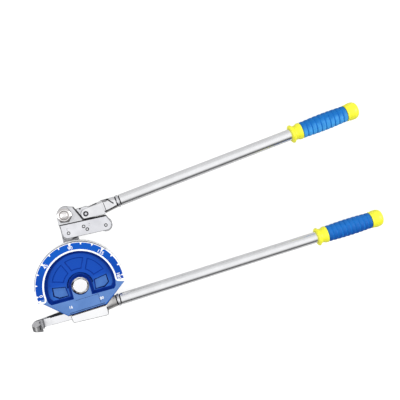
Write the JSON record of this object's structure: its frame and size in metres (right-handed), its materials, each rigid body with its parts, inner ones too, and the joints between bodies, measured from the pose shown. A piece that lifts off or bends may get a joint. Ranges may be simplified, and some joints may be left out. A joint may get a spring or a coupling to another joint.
{
  "type": "tube bender",
  "caption": "Hand tube bender with a half-round grooved form wheel, a swinging roller shoe on a link, a folding lever, a latch hook and two long handles with grips.",
  "frame": {"origin": "on the pivot axis, on the flat rear end of the pivot pin, which lies on the bench", "axes": "+Z out of the front face of the form wheel, +X along the fixed handle towards its grip, +Y towards the 90 degree mark of the wheel"},
  "size_m": [0.6828, 0.2661, 0.0499],
  "materials": {
    "blue_paint": "gloss",
    "bright_steel": "satin",
    "cast_steel": "satin",
    "dark_steel": "oiled black",
    "yellow_plastic": "satin",
    "blue_rubber": "matte"
  },
  "bodies": {
    "form": {"form_wheel": "blue_paint", "wheel_bush": "bright_steel", "form_handle_forging": "cast_steel", "base_screw_left": "dark_steel", "base_screw_middle": "dark_steel", "base_screw_right": "dark_steel", "lower_collar": "bright_steel", "lower_tube": "bright_steel", "lower_grip_core": "yellow_plastic", "lower_grip_sleeve": "blue_rubber", "latch_screw": "dark_steel"},
    "link": {"link_arm": "bright_steel", "pivot_pin": "bright_steel", "pivot_circlip": "dark_steel", "pivot_nut": "bright_steel", "shoe_bolt": "bright_steel", "shoe_bush": "bright_steel", "shoe_nut": "bright_steel"},
    "shoe": {"shoe_body": "cast_steel", "shoe_plate_front": "bright_steel", "shoe_plate_rear": "bright_steel", "roller_pin_left": "bright_steel", "roller_pin_right": "bright_steel", "spacer_pin": "bright_steel", "plate_dowel": "bright_steel"},
    "left_roller": {"roller_left": "bright_steel"},
    "right_roller": {"roller_right": "bright_steel"},
    "lever": {"handle_clevis": "cast_steel", "clevis_screw": "dark_steel", "upper_collar": "bright_steel", "upper_tube": "bright_steel", "upper_grip_core": "yellow_plastic", "upper_grip_sleeve": "blue_rubber"},
    "latch": {"latch": "cast_steel", "latch_washer": "bright_steel"}
  },
  "joints": [
    {"name": "link_swing", "type": "hinge", "parent": "form", "child": "link", "pos_m": [0, 0, 0.03], "axis": [0, 0, 1], "range_deg": [-13, 92]},
    {"name": "shoe_pivot", "type": "hinge", "parent": "link", "child": "shoe", "pos_m": [0.00499, 0.1299, 0.03], "axis": [0, 0, 1], "range_deg": [-3, 70]},
    {"name": "handle_swivel", "type": "hinge", "parent": "shoe", "child": "lever", "pos_m": [0.04194, 0.12268, 0.0291], "axis": [0, 0, 1], "range_deg": [0, 95]},
    {"name": "roller_left_spin", "type": "hinge", "parent": "shoe", "child": "left_roller", "pos_m": [0.00422, 0.09691, 0.0291], "axis": [0, 0, 1], "continuous": true},
    {"name": "roller_right_spin", "type": "hinge", "parent": "shoe", "child": "right_roller", "pos_m": [0.07117, 0.09434, 0.0291], "axis": [0, 0, 1], "continuous": true},
    {"name": "latch_swing", "type": "hinge", "parent": "form", "child": "latch", "pos_m": [-0.018, -0.05186, 0.015], "axis": [0, 0, 1], "range_deg": [0, 80]}
  ]
}
